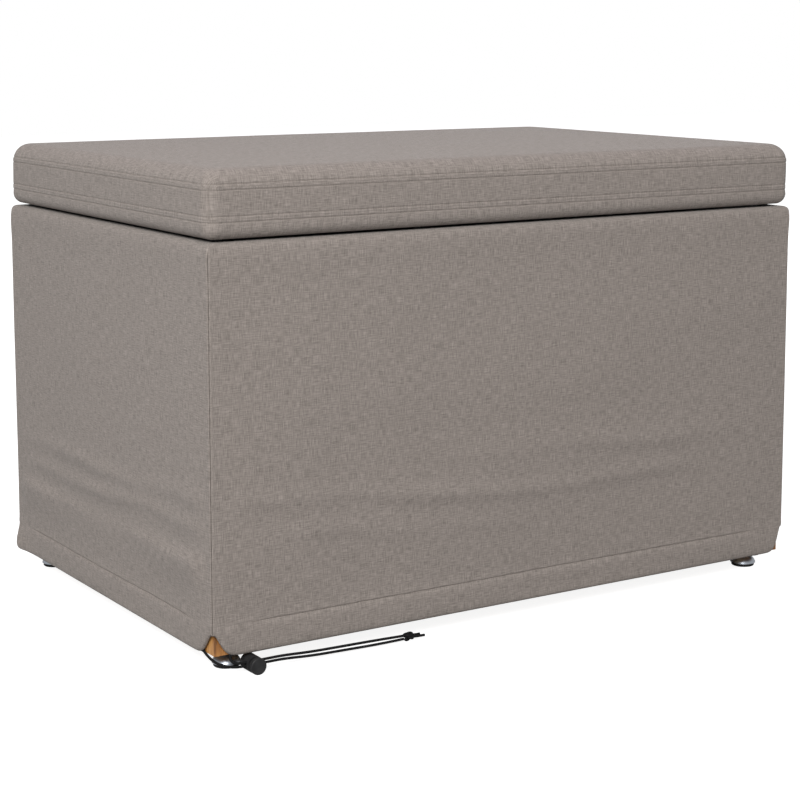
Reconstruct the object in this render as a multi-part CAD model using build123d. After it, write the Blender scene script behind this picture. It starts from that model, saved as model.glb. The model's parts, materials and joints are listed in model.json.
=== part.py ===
from build123d import *

import math
import os

# Slipcovered storage bench, millimetres. Origin on the floor under the bench's middle,
# +X to the right along the long front, +Y to the back, +Z up.

# Whole bench
WIDTH, DEPTH, HEIGHT = 762.0, 508.0, 508.0
COVER_BOTTOM, COVER_TOP = 19.0, 433.5
LID_BOTTOM = 436.0

# Slipcover and cushion cover
CLOTH = 1.6
COVER_CORNER_R, COVER_TOP_R = 3.0, 7.0
COVER_RETURN = 34.0
NOTCH_HIGH, NOTCH_WIDE = 24.0, 23.0
LID_CORNER_R, LID_TOP_R, LID_BOTTOM_R = 23.0, 21.0, 12.0
LID_BORDER_X, LID_BORDER_Y = 30.0, 50.0

# Wooden box
WOOD_INSET = 4.6
POST, PANEL = 40.0, 12.0
POST_BOTTOM, PANEL_BOTTOM = 20.5, 26.0
WOOD_TOP = COVER_TOP - CLOTH - 0.1
SIDE_RAIL_HIGH, FRONT_RAIL_HIGH, BOTTOM_RAIL_HIGH = 76.0, 60.0, 26.0
FLOOR_PANEL = 9.0
WADDING_BOTTOM, WADDING_TOP, WADDING = 60.0, 424.0, 2.8

# Lid
BOARD, BOARD_INSET = 12.0, 13.0
DUST_CLOTH = 0.8

# Hinges
HINGE_X = (-250.0, 0.0, 250.0)
HINGE_Y, HINGE_Z = 253.5, (COVER_TOP + LID_BOTTOM) / 2
KNUCKLE_R, HINGE_PIN_R, LEAF, LEAF_LONG, LEAF_DEEP = 2.9, 1.4, 1.1, 60.0, 38.0
KNUCKLES = 5
SCREW_Y, SCREW_X = 226.0, 22.0

# Lid stays: the arm is as long as the stud's distance from the hinge axis, so its slider
# runs on a straight line through that axis and the arm turns back twice as fast as the lid.
STAY_ARM, STAY_SLOPE, STAY_LEAD = 134.0, 14.0, 3.44
LID_OPEN = 75.0
TRACK, TRACK_HALF, SLOT_HALF, SLIDER_R = 7.0, 8.0, 4.7, 4.5
ARM_THICK, ARM_HALF, STUD_R = 3.0, 7.0, 3.0

# Levelling feet
FOOT_INSET = 32.0
PAD_R, PAD_HIGH, DOME_TOP, STEM_R, STEM_TOP = 13.4, 3.5, 12.7, 4.0, 52.0

# Drawcord and its lock
CORD_R = 1.4
HEM_Z, HEM_LOW_Z, HEM_INSET = 21.6, 18.8, 3.1
LOCK_X, LOCK_FRONT, LOCK_REAR = 44.5, -14.8, 10.7
LOCK_R, LOCK_RIM, LOCK_TRAVEL = 8.7, -7.0, 3.0
STRAND_Y, STRAND_LOW, STRAND_HIGH = -2.0, 7.5, 11.1
KNOT_R, KNOT_LONG = 5.0, 12.5

HALF_W, HALF_D = WIDTH / 2, DEPTH / 2
WOOD_X, WOOD_Y = HALF_W - WOOD_INSET, HALF_D - WOOD_INSET
INNER_X, INNER_Y = WOOD_X - POST, WOOD_Y - POST
CORNERS = {"front_left": (-1, -1), "front_right": (1, -1), "back_left": (-1, 1), "back_right": (1, 1)}

parts = {}


def block(x0, x1, y0, y1, z0, z1):
    """Box from its lower to its upper limit on each axis."""
    return Pos((x0 + x1) / 2, (y0 + y1) / 2, (z0 + z1) / 2) * Box(x1 - x0, y1 - y0, z1 - z0)


def rod(start, direction, radius, length):
    """Round bar from a point along a direction."""
    return Solid.make_cylinder(radius, length, Plane(origin=start, z_dir=direction))


def cone(start, direction, radius, end_radius, length):
    """Tapered bar from a point along a direction."""
    return Solid.make_cone(radius, end_radius, length, Plane(origin=start, z_dir=direction))


def rounded_box(half_x, half_y, z0, z1, corner, top, bottom=0.0):
    """Box with round vertical edges, then a round top edge and a round bottom edge."""
    solid = block(-half_x, half_x, -half_y, half_y, z0, z1)
    solid = fillet(solid.edges().filter_by(Axis.Z), corner)
    if top:
        solid = fillet(solid.faces().sort_by(Axis.Z)[-1].edges(), top)
    if bottom:
        solid = fillet(solid.faces().sort_by(Axis.Z)[0].edges(), bottom)
    return solid


def as_solids(shapes):
    """One compound of separate solids for a node of like pieces."""
    return Compound(children=[solid for shape in shapes for solid in shape.solids()])


def routed_tube(points, radius, name):
    """Cord along straight runs joined by arcs as large as the runs allow."""
    radii = []
    for before, here, after in zip(points, points[1:], points[2:]):
        run_in, run_out = Vector(*here) - Vector(*before), Vector(*after) - Vector(*here)
        half_turn = math.radians(run_in.get_angle(run_out)) / 2
        radii.append(0.45 * min(run_in.length, run_out.length) / math.tan(half_turn))
    path = FilletPolyline(*points, radius=radii)
    section = Plane(origin=path @ 0, z_dir=path % 0) * Circle(radius)
    tube = sweep(section, path=path)
    expected = math.pi * radius**2 * path.length
    print(name, "length", round(path.length, 1), "radii", [round(r, 1) for r in radii])
    print(name, "volume over section times length", round(tube.volume / expected, 4))
    return tube


# ---- Levelling feet: pad on the floor, dome and stem that turn in it, insert in the post ----

inserts = []
for corner, (sx, sy) in CORNERS.items():
    x, y = sx * (HALF_W - FOOT_INSET), sy * (HALF_D - FOOT_INSET)
    pad = rod((x, y, 0), (0, 0, 1), PAD_R, PAD_HIGH)
    pad = chamfer(pad.edges().sort_by(Axis.Z)[0], 0.6)
    parts[f"foot_pad_{corner}"] = pad - rod((x, y, 1.2), (0, 0, 1), STEM_R + 0.2, PAD_HIGH)

    with BuildPart() as dome:
        with BuildSketch(Plane.XZ):
            with BuildLine():
                outer = ThreePointArc((14.9, PAD_HIGH + 0.2), (13.0, 8.0), (8.5, 11.6))
                rim = ThreePointArc(outer @ 1, (6.5, 12.4), (STEM_R, DOME_TOP))
                Polyline(rim @ 1, (STEM_R, 10.9), (8.0, 9.9), (13.2, PAD_HIGH + 0.2), outer @ 0)
            make_face()
        revolve(axis=Axis.Z)
    parts[f"foot_dome_{corner}"] = Pos(x, y, 0) * dome.part
    parts[f"foot_stem_{corner}"] = rod((x, y, 1.4), (0, 0, 1), STEM_R, STEM_TOP - 1.4)

    flange = rod((x, y, POST_BOTTOM), (0, 0, 1), 10.0, 1.5)
    sleeve = rod((x, y, POST_BOTTOM), (0, 0, 1), 5.5, 22.0)
    inserts.append(flange + sleeve - rod((x, y, 0), (0, 0, 1), STEM_R + 0.08, 60.0))
parts["foot_inserts"] = as_solids(inserts)

# ---- Wooden box: posts with panels let in between them, rails inside, floor on the low rails ----

for corner, (sx, sy) in CORNERS.items():
    x, y = sx * (WOOD_X - POST / 2), sy * (WOOD_Y - POST / 2)
    post = Pos(x, y, (POST_BOTTOM + WOOD_TOP) / 2) * Box(POST, POST, WOOD_TOP - POST_BOTTOM)
    top_edges = post.faces().sort_by(Axis.Z)[-1].edges()
    outer_edges = [e for e in top_edges if sx * e.center().X > WOOD_X - 1 or sy * e.center().Y > WOOD_Y - 1]
    post = chamfer(outer_edges, 2.0)
    foot_x, foot_y = sx * (HALF_W - FOOT_INSET), sy * (HALF_D - FOOT_INSET)
    post -= rod((foot_x, foot_y, POST_BOTTOM), (0, 0, 1), 10.0, 1.5)
    post -= rod((foot_x, foot_y, POST_BOTTOM), (0, 0, 1), 5.5, 22.0)
    post -= rod((foot_x, foot_y, POST_BOTTOM), (0, 0, 1), STEM_R + 0.6, 42.0)
    parts[f"post_{corner}"] = post


def panel_between_posts(side):
    """Plywood side between two posts, flush with their outer faces."""
    if side in ("front", "back"):
        sign = -1 if side == "front" else 1
        limits = sorted((sign * WOOD_Y, sign * (WOOD_Y - PANEL)))
        panel = block(-INNER_X, INNER_X, *limits, PANEL_BOTTOM, WOOD_TOP)
        edge = panel.edges().filter_by(Axis.X).sort_by(lambda e: e.center().Z + sign * e.center().Y)[-1]
    else:
        sign = -1 if side == "left" else 1
        limits = sorted((sign * WOOD_X, sign * (WOOD_X - PANEL)))
        panel = block(*limits, -INNER_Y, INNER_Y, PANEL_BOTTOM, WOOD_TOP)
        edge = panel.edges().filter_by(Axis.Y).sort_by(lambda e: e.center().Z + sign * e.center().X)[-1]
    return chamfer(edge, 2.0)


def rail_inside(side, z0, z1):
    """Rail behind a side panel, flush with the posts' inner faces."""
    if side in ("front", "back"):
        sign = -1 if side == "front" else 1
        return block(-INNER_X, INNER_X, *sorted((sign * INNER_Y, sign * (WOOD_Y - PANEL))), z0, z1)
    sign = -1 if side == "left" else 1
    return block(*sorted((sign * INNER_X, sign * (WOOD_X - PANEL))), -INNER_Y, INNER_Y, z0, z1)


top_rails = {}
for side in ("front", "back", "left", "right"):
    high = FRONT_RAIL_HIGH if side in ("front", "back") else SIDE_RAIL_HIGH
    parts[f"panel_{side}"] = panel_between_posts(side)
    top_rails[side] = rail_inside(side, WOOD_TOP - high, WOOD_TOP)
    parts[f"bottom_rail_{side}"] = rail_inside(side, PANEL_BOTTOM, PANEL_BOTTOM + BOTTOM_RAIL_HIGH)

floor_z = PANEL_BOTTOM + BOTTOM_RAIL_HIGH
floor_x, floor_y = WOOD_X - PANEL, WOOD_Y - PANEL
floor_panel = block(-floor_x, floor_x, -floor_y, floor_y, floor_z, floor_z + FLOOR_PANEL)
for sx, sy in CORNERS.values():
    notch_x, notch_y = sorted((sx * INNER_X, sx * HALF_W)), sorted((sy * INNER_Y, sy * HALF_D))
    floor_panel -= block(*notch_x, *notch_y, floor_z - 1, floor_z + FLOOR_PANEL + 1)
parts["floor_panel"] = floor_panel

wadding_x, wadding_y = WOOD_X + 0.1, WOOD_Y + 0.1
wadding = rounded_box(wadding_x + WADDING, wadding_y + WADDING, WADDING_BOTTOM, WADDING_TOP, 1.5, 0)
wadding -= block(-wadding_x, wadding_x, -wadding_y, wadding_y, 0, HEIGHT)
parts["wadding"] = wadding

# ---- Slipcover: sleeve with a return over the rim and a notch at each bottom corner ----

cover = rounded_box(HALF_W, HALF_D, COVER_BOTTOM, COVER_TOP, COVER_CORNER_R, COVER_TOP_R)
inside = rounded_box(
    HALF_W - CLOTH, HALF_D - CLOTH, 0, COVER_TOP - CLOTH, COVER_CORNER_R - CLOTH, COVER_TOP_R - CLOTH
)
mouth_x, mouth_y = HALF_W - COVER_RETURN, HALF_D - COVER_RETURN
cover = cover - inside - block(-mouth_x, mouth_x, -mouth_y, mouth_y, 0, HEIGHT)
for sx, sy in CORNERS.values():
    for plane, across, along in ((Plane.XZ, sx * HALF_W, sx), (Plane.YZ, sy * HALF_D, sy)):
        with BuildPart() as notch:
            with BuildSketch(plane):
                with BuildLine():
                    Polyline(
                        (across + along, COVER_BOTTOM - 1),
                        (across - along * NOTCH_WIDE, COVER_BOTTOM - 1),
                        (across - along * NOTCH_WIDE, COVER_BOTTOM),
                        (across - along * COVER_CORNER_R, COVER_BOTTOM + NOTCH_HIGH),
                        (across + along, COVER_BOTTOM + NOTCH_HIGH),
                        close=True,
                    )
                make_face()
            extrude(amount=COVER_CORNER_R + 1, both=True)
        offset = (0, sy * HALF_D, 0) if plane == Plane.XZ else (sx * HALF_W, 0, 0)
        cover -= Pos(*offset) * notch.part

# ---- Lid: board, foam block and cushion cover, closed below by the dust cloth ----

board_z = LID_BOTTOM + CLOTH
foam_z = board_z + BOARD + 0.1
lid_cover = rounded_box(HALF_W, HALF_D, LID_BOTTOM, HEIGHT, LID_CORNER_R, LID_TOP_R, LID_BOTTOM_R)
lid_cover -= rounded_box(
    HALF_W - CLOTH,
    HALF_D - CLOTH,
    board_z,
    HEIGHT - CLOTH,
    LID_CORNER_R - CLOTH,
    LID_TOP_R - CLOTH,
    LID_BOTTOM_R - CLOTH,
)
opening_x, opening_y = HALF_W - LID_BORDER_X, HALF_D - LID_BORDER_Y
lid_cover -= block(-opening_x, opening_x, -opening_y, opening_y, LID_BOTTOM - 1, board_z + 1)
board_x, board_y = HALF_W - BOARD_INSET, HALF_D - BOARD_INSET
board = rounded_box(board_x, board_y, board_z, board_z + BOARD, LID_CORNER_R - BOARD_INSET, 0)
foam_gap = CLOTH + 0.2
parts["lid_foam"] = rounded_box(
    HALF_W - foam_gap,
    HALF_D - foam_gap,
    foam_z,
    HEIGHT - foam_gap,
    LID_CORNER_R - foam_gap,
    LID_TOP_R - foam_gap,
)
dust_z = board_z - DUST_CLOTH
dust_cloth = block(-opening_x + 0.5, opening_x - 0.5, -opening_y + 0.5, opening_y - 0.5, dust_z, board_z)

# ---- Hinges: two folded leaves in the gap, knuckles in the groove at the back ----

base_leaves, lid_leaves, pins, base_screws, lid_screws = [], [], [], [], []
knuckle_long = LEAF_LONG / KNUCKLES
for hinge_x in HINGE_X:
    start = hinge_x - LEAF_LONG / 2
    base_leaf = block(start, start + LEAF_LONG, HINGE_Y - LEAF_DEEP, HINGE_Y, COVER_TOP, COVER_TOP + LEAF)
    lid_leaf = block(start, start + LEAF_LONG, HINGE_Y - LEAF_DEEP, HINGE_Y, LID_BOTTOM - LEAF, LID_BOTTOM)
    clear = block(start - 1, start + LEAF_LONG + 1, HINGE_Y - KNUCKLE_R - 0.3, HALF_D + 9, 0, HEIGHT)
    base_leaf, lid_leaf = base_leaf - clear, lid_leaf - clear
    for index in range(KNUCKLES):
        left = start + index * knuckle_long
        knuckle = rod((left + 0.1, HINGE_Y, HINGE_Z), (1, 0, 0), KNUCKLE_R, knuckle_long - 0.2)
        root = [left + 0.1, left + knuckle_long - 0.1, HINGE_Y - KNUCKLE_R - 0.3, HINGE_Y]
        if index % 2 == 0:
            base_leaf += knuckle + block(*root, COVER_TOP, COVER_TOP + LEAF)
        else:
            lid_leaf += knuckle + block(*root, LID_BOTTOM - LEAF, LID_BOTTOM)
    bore = rod((start - 1, HINGE_Y, HINGE_Z), (1, 0, 0), HINGE_PIN_R + 0.05, LEAF_LONG + 2)
    base_leaf, lid_leaf = base_leaf - bore, lid_leaf - bore
    pins.append(rod((start, HINGE_Y, HINGE_Z), (1, 0, 0), HINGE_PIN_R, LEAF_LONG))
    for screw_x in (hinge_x - SCREW_X, hinge_x + SCREW_X):
        down, up = (screw_x, SCREW_Y, COVER_TOP + LEAF), (screw_x, SCREW_Y, LID_BOTTOM - LEAF)
        base_screw = cone(down, (0, 0, -1), 3.2, 2.1, LEAF) + rod(down, (0, 0, -1), 1.75, 24.0)
        lid_screw = cone(up, (0, 0, 1), 3.2, 2.1, LEAF) + rod(up, (0, 0, 1), 1.75, 12.0)
        base_screws.append(base_screw)
        lid_screws.append(lid_screw)
        base_leaf, lid_leaf = base_leaf - base_screw, lid_leaf - lid_screw
        cover -= base_screw
        top_rails["back"] -= base_screw
        lid_cover -= lid_screw
        board -= lid_screw
    base_leaves.append(base_leaf)
    lid_leaves.append(lid_leaf)
parts["hinge_base_leaves"] = as_solids(base_leaves)
parts["hinge_lid_leaves"] = as_solids(lid_leaves)
parts["hinge_pins"] = as_solids(pins)
parts["hinge_base_screws"] = as_solids(base_screws)
parts["hinge_lid_screws"] = as_solids(lid_screws)

# ---- Lid stays ----


def side_point(distance, below):
    """Point at a distance from the hinge axis, at an angle below the horizontal, to the front."""
    angle = math.radians(below)
    return HINGE_Y - distance * math.cos(angle), HINGE_Z - distance * math.sin(angle)


def bar(x0, x1, start, end, half):
    """Flat bar with round ends between two points of a side plane."""
    (y0, z0), (y1, z1) = start, end
    run, angle = math.hypot(y1 - y0, z1 - z0), math.degrees(math.atan2(z1 - z0, y1 - y0))
    frame = Plane(origin=(min(x0, x1), (y0 + y1) / 2, (z0 + z1) / 2), x_dir=(0, 1, 0), z_dir=(1, 0, 0))
    return extrude(frame * Rot(0, 0, angle) * SlotCenterToCenter(run, 2 * half), amount=abs(x1 - x0))


stud = side_point(STAY_ARM, STAY_SLOPE - STAY_LEAD)
slider_shut = side_point(2 * STAY_ARM * math.cos(math.radians(STAY_LEAD)), STAY_SLOPE)
slider_open = side_point(2 * STAY_ARM * math.cos(math.radians(STAY_LEAD + LID_OPEN)), STAY_SLOPE)
print("stay stud", stud, "slider shut", slider_shut, "slider open", slider_open)

track_screws, brackets, bracket_screws, rivets, tracks = [], [], [], [], []
for side, s in (("left", -1), ("right", 1)):
    wall = INNER_X
    face = wall - TRACK
    arm_out, arm_in = face - 1.0, face - 1.0 - ARM_THICK
    plate_out = arm_in - 0.3
    plate_in = plate_out - 3.0
    track = bar(s * face, s * wall, slider_shut, slider_open, TRACK_HALF)
    for share in (0.2, 0.8):
        y = slider_shut[0] + share * (slider_open[0] - slider_shut[0]) + 3.0
        z = slider_shut[1] + share * (slider_open[1] - slider_shut[1]) - 12.0
        track += rod((s * (wall - 2.5), y, z), (s, 0, 0), 7.0, 2.5)
        track += block(*sorted((s * wall, s * (wall - 2.5))), y - 7, y + 7, z, z + 8)
        head = rod((s * (wall - 4.1), y, z), (s, 0, 0), 3.6, 1.6)
        screw = head + rod((s * (wall - 2.6), y, z), (s, 0, 0), 1.9, 22.0)
        track -= screw
        top_rails[side] -= screw
        track_screws.append(screw)
    tracks.append(track - bar(s * (face - 1), s * (wall + 1), slider_shut, slider_open, SLOT_HALF))

    arm = bar(s * arm_in, s * arm_out, slider_shut, stud, ARM_HALF)
    arm -= rod((s * (arm_in - 1), *stud), (s, 0, 0), STUD_R + 0.06, 9)
    arm -= rod((s * (arm_in - 1), *slider_shut), (s, 0, 0), 2.0, 9)
    slider = rod((s * arm_out, *slider_shut), (s, 0, 0), SLIDER_R, TRACK - 0.5 + 1.0)
    slider += rod((s * arm_in, *slider_shut), (s, 0, 0), 2.0, ARM_THICK + 0.5)
    slider += rod((s * (arm_in - 0.8), *slider_shut), (s, 0, 0), 4.0, 0.8)
    parts[f"stay_arm_{side}"] = arm
    parts[f"stay_slider_{side}"] = slider

    plate = block(*sorted((s * plate_in, s * plate_out)), stud[0] - 14, stud[0] + 14, stud[1], dust_z)
    plate += rod((s * plate_in, *stud), (s, 0, 0), 8.0, 3.0)
    plate = plate & block(-HALF_W, HALF_W, stud[0] - 14, stud[0] + 14, stud[1] - 8, dust_z)
    flange_x = sorted((s * (plate_in - 20), s * plate_out))
    flange = block(*flange_x, stud[0] - 14, stud[0] + 14, dust_z - 2.4, dust_z)
    bracket = plate + flange
    for screw_y in (stud[0] - 8, stud[0] + 8):
        top = (s * (plate_in - 11), screw_y, dust_z - 2.4)
        screw = rod((top[0], screw_y, top[2] - 1.6), (0, 0, 1), 3.6, 1.6) + rod(top, (0, 0, 1), 1.9, 13.0)
        bracket -= screw
        board -= screw
        dust_cloth -= screw
        bracket_screws.append(screw)
    rivet = rod((s * (plate_in - 1.5), *stud), (s, 0, 0), 5.0, 1.5)
    rivet += rod((s * plate_in, *stud), (s, 0, 0), STUD_R, arm_out - plate_in)
    rivet += rod((s * arm_out, *stud), (s, 0, 0), 5.0, 0.7)
    brackets.append(bracket - rod((s * (plate_in - 1), *stud), (s, 0, 0), STUD_R, 9))
    rivets.append(rivet)
parts["stay_tracks"] = as_solids(tracks)
parts["stay_track_screws"] = as_solids(track_screws)
parts["stay_brackets"] = as_solids(brackets)
parts["stay_bracket_screws"] = as_solids(bracket_screws)
parts["stay_rivets"] = as_solids(rivets)

parts["lid_board"], parts["lid_cover"], parts["dust_cloth"] = board, lid_cover, dust_cloth
parts["slipcover"] = cover
for side, rail in top_rails.items():
    parts[f"top_rail_{side}"] = rail

bumpers = []
for bumper_x in (-HALF_W + 22, -HALF_W / 3, HALF_W / 3, HALF_W - 22):
    bumper = rod((bumper_x, -HALF_D + 22, COVER_TOP), (0, 0, 1), 5.0, LID_BOTTOM - COVER_TOP)
    bumpers.append(bumper)
parts["rim_bumpers"] = as_solids(bumpers)

# ---- Drawcord: held in the hem, cutting each corner under its post, both ends out at the left ----

near_x, near_y = -HALF_W, -HALF_D


def near_corner(x, y, z):
    """Point measured from the bench's front left corner, on the floor."""
    return near_x + x, near_y + y, z


front_exit = near_corner(23.9, HEM_INSET, 23.6)
run_x, run_y = HALF_W - HEM_INSET, HALF_D - HEM_INSET
hem_route = [(-run_x, near_y + 25, HEM_Z)]
for sx, sy, along_x_first in ((-1, 1, False), (1, 1, True), (1, -1, False)):
    on_side = [(sx * run_x, sy * (HALF_D - 54), HEM_Z), (sx * run_x, sy * (HALF_D - 33), HEM_LOW_Z)]
    on_front = [(sx * (HALF_W - 54), sy * run_y, HEM_Z), (sx * (HALF_W - 33), sy * run_y, HEM_LOW_Z)]
    hem_route += (on_front + on_side[::-1]) if along_x_first else (on_side + on_front[::-1])
hem_route.append(front_exit)
parts["hem_drawcord"] = routed_tube(hem_route, CORD_R, "hem_drawcord")

left_route = [
    near_corner(HEM_INSET, 25, HEM_Z),
    near_corner(3.6, 17.5, 18.0),
    near_corner(7.5, 9.5, 12.9),
    near_corner(15.0, 3.4, 9.2),
    near_corner(25.0, -1.0, STRAND_LOW + 0.2),
    near_corner(36.0, STRAND_Y, STRAND_LOW),
    near_corner(60.0, STRAND_Y + 0.01, STRAND_LOW),
    near_corner(80.0, STRAND_Y, STRAND_LOW),
    near_corner(112.0, -2.2, 4.9),
    near_corner(150.0, -2.3, 4.1),
    near_corner(196.0, -2.2, 2.9),
    near_corner(223.5, -2.0, 3.3),
]
front_route = [
    front_exit,
    near_corner(20.8, HEM_INSET, 19.6),
    near_corner(21.3, 1.6, 14.5),
    near_corner(25.1, -1.0, STRAND_HIGH),
    near_corner(36.0, STRAND_Y, STRAND_HIGH),
    near_corner(60.0, STRAND_Y + 0.01, STRAND_HIGH),
    near_corner(80.0, STRAND_Y, STRAND_HIGH),
    near_corner(112.0, -1.7, 8.9),
    near_corner(150.0, -1.5, 8.2),
    near_corner(196.0, -1.4, 7.3),
    near_corner(223.5, -1.6, 6.5),
]
parts["cord_strand_left"] = routed_tube(left_route, CORD_R, "cord_strand_left")
parts["cord_strand_front"] = routed_tube(front_route, CORD_R, "cord_strand_front")

knot_at = near_corner(223.5, -1.8, KNOT_R + 0.05)
knot = rod(knot_at, (1, 0, 0), KNOT_R, KNOT_LONG)
knot = fillet(knot.edges().filter_by(GeomType.CIRCLE), 3.2)
knot += rod((knot_at[0] + 9, knot_at[1] - 1.2, 4.2), (1, 0, -0.05), CORD_R, 17.0)
knot += rod((knot_at[0] + 9, knot_at[1] + 1.6, 5.2), (1, 0.08, -0.05), CORD_R, 13.0)
parts["cord_knot"] = knot

# ---- Cord lock: barrel with its mouth to the front, sprung plunger with a button head ----

lock_z = LOCK_R
hole_mid = (STRAND_LOW + STRAND_HIGH) / 2
hole_half_z, hole_half_y = (STRAND_HIGH - STRAND_LOW) / 2 + CORD_R + 0.25, CORD_R + 0.25
bore_r, plunger_r = 7.0, 6.8
_, front, _ = near_corner(0, LOCK_FRONT, 0)
_, rear, _ = near_corner(0, LOCK_REAR, 0)
_, rim_y, _ = near_corner(0, LOCK_RIM, 0)
_, strand_y, _ = near_corner(0, STRAND_Y, 0)
lock_x, _, _ = near_corner(LOCK_X, 0, 0)
wide = LOCK_R + 1
barrel = rod((lock_x, rim_y, lock_z), (0, 1, 0), LOCK_R, rear - rim_y)
barrel = chamfer(barrel.edges().filter_by(GeomType.CIRCLE).sort_by(Axis.Y)[-1], 1.0)
barrel -= rod((lock_x, rim_y - 1, lock_z), (0, 1, 0), bore_r, rear - 1.5 - rim_y + 1)
barrel -= block(
    lock_x - wide,
    lock_x + wide,
    strand_y - hole_half_y,
    strand_y + hole_half_y,
    hole_mid - hole_half_z,
    hole_mid + hole_half_z,
)
parts["cord_lock_barrel"] = barrel

plunger_end = rear - 1.5 - 6.0
head_back = rim_y - LOCK_TRAVEL - 0.2
head = rod((lock_x, front, lock_z), (0, 1, 0), LOCK_R - 0.1, head_back - front)
head = chamfer(head.edges().filter_by(GeomType.CIRCLE).sort_by(Axis.Y)[0], 0.5)
plunger = head + rod((lock_x, head_back, lock_z), (0, 1, 0), plunger_r, plunger_end - head_back)
plunger -= block(
    lock_x - wide,
    lock_x + wide,
    strand_y - hole_half_y - LOCK_TRAVEL,
    strand_y + hole_half_y - 0.1,
    hole_mid - hole_half_z,
    hole_mid + hole_half_z,
)
parts["cord_lock_plunger"] = plunger

spring_turns, spring_wire, spring_r = 4, 0.45, 4.5
spring_long = rear - 1.5 - plunger_end - 2 * spring_wire - 0.1
spring_plane = Plane(origin=(lock_x, plunger_end + spring_wire + 0.05, lock_z), z_dir=(0, 1, 0))
spring_line = Location(spring_plane) * Helix(
    pitch=spring_long / spring_turns, height=spring_long, radius=spring_r
)
spring_section = Plane(origin=spring_line @ 0, z_dir=spring_line % 0) * Circle(spring_wire)
parts["cord_lock_spring"] = sweep(spring_section, path=spring_line, is_frenet=True)

os.makedirs("parts", exist_ok=True)
for name, shape in parts.items():
    export_step(shape, f"parts/{name}.step")
print(len(parts), "nodes")
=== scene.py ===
import json
import math

import bpy
import numpy as np
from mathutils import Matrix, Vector


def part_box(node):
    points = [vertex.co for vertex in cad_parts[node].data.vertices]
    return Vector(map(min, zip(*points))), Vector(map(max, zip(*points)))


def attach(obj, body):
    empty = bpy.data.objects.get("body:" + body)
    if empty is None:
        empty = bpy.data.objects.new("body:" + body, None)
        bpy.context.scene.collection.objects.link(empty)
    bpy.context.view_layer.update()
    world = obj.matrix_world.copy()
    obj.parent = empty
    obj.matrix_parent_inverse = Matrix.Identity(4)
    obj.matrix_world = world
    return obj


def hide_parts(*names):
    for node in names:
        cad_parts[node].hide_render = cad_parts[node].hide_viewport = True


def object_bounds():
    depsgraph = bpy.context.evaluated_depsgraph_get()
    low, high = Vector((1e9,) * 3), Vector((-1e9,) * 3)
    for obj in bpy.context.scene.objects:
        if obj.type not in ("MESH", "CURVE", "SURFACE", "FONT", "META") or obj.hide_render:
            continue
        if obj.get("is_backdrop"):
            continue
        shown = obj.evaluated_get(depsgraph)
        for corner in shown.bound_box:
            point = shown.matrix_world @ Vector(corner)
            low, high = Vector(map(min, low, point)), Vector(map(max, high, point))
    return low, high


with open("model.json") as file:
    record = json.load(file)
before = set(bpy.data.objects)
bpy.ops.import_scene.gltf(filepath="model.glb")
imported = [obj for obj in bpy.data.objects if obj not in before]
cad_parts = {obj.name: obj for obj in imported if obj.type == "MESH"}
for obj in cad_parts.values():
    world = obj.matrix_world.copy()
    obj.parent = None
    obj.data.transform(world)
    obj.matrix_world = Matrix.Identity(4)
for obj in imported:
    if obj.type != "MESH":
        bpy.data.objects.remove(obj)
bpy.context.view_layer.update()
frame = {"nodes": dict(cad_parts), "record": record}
nodes = frame["nodes"]

MM = 0.001
AMBIENT, FLOOR_GLOW = 0.5, 0.88

# ---------------------------------------------------------------- camera, lights and floor

# The bench is seen from the front left, a little above its lid, with a long lens. The light that
# the backdrop sheds is AMBIENT, and FLOOR_GLOW lifts the floor to white for the camera alone.
CAMERA_AT = Vector((-1.2334, -1.9337, 0.6409))
CAMERA_HEADING, CAMERA_PITCH, CAMERA_LENS, CAMERA_SHIFT = 32.565, 7.588, 88.18, -0.14

camera = bpy.data.objects.new("camera", bpy.data.cameras.new("camera"))
camera.data.lens = CAMERA_LENS
camera.data.shift_y = CAMERA_SHIFT
camera.location = CAMERA_AT
camera.rotation_euler = (math.radians(90 - CAMERA_PITCH), 0, -math.radians(CAMERA_HEADING))
bpy.context.scene.collection.objects.link(camera)
bpy.context.scene.camera = camera
bpy.context.scene.view_settings.view_transform = "Standard"


def area_light(name, at, aim, size, power, colour=(1, 1, 1)):
    """Soft square light from a place towards a point."""
    data = bpy.data.lights.new(name, "AREA")
    data.energy, data.size, data.color = power, size, colour
    light = bpy.data.objects.new(name, data)
    light.location = at
    light.rotation_euler = (Vector(aim) - Vector(at)).to_track_quat("-Z", "Y").to_euler()
    bpy.context.scene.collection.objects.link(light)


area_light("light_key", (-2.9, -3.0, 2.85), (0, 0, 0.25), 2.2, 232)
area_light("light_top", (0, 0, 3.3), (0, 0, 0.3), 2.0, 10, (1.0, 0.78, 0.96))
area_light("light_back", (2.6, 3.2, 1.2), (0, 0, 0.25), 2.0, 42)

# The backdrop is white, and lights the bench less than it shows, so folds keep their shading.
world = bpy.data.worlds.new("studio")
world.use_nodes = True
for_camera = world.node_tree.nodes.new("ShaderNodeLightPath").outputs["Is Camera Ray"]
strength = world.node_tree.nodes.new("ShaderNodeMapRange")
strength.inputs["To Min"].default_value, strength.inputs["To Max"].default_value = AMBIENT, 1.0
world.node_tree.links.new(for_camera, strength.inputs["Value"])
backdrop = world.node_tree.nodes["Background"]
backdrop.inputs["Color"].default_value = (1, 1, 1, 1)
world.node_tree.links.new(strength.outputs["Result"], backdrop.inputs["Strength"])
bpy.context.scene.world = world


# ---------------------------------------------------------------- material building blocks


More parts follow.
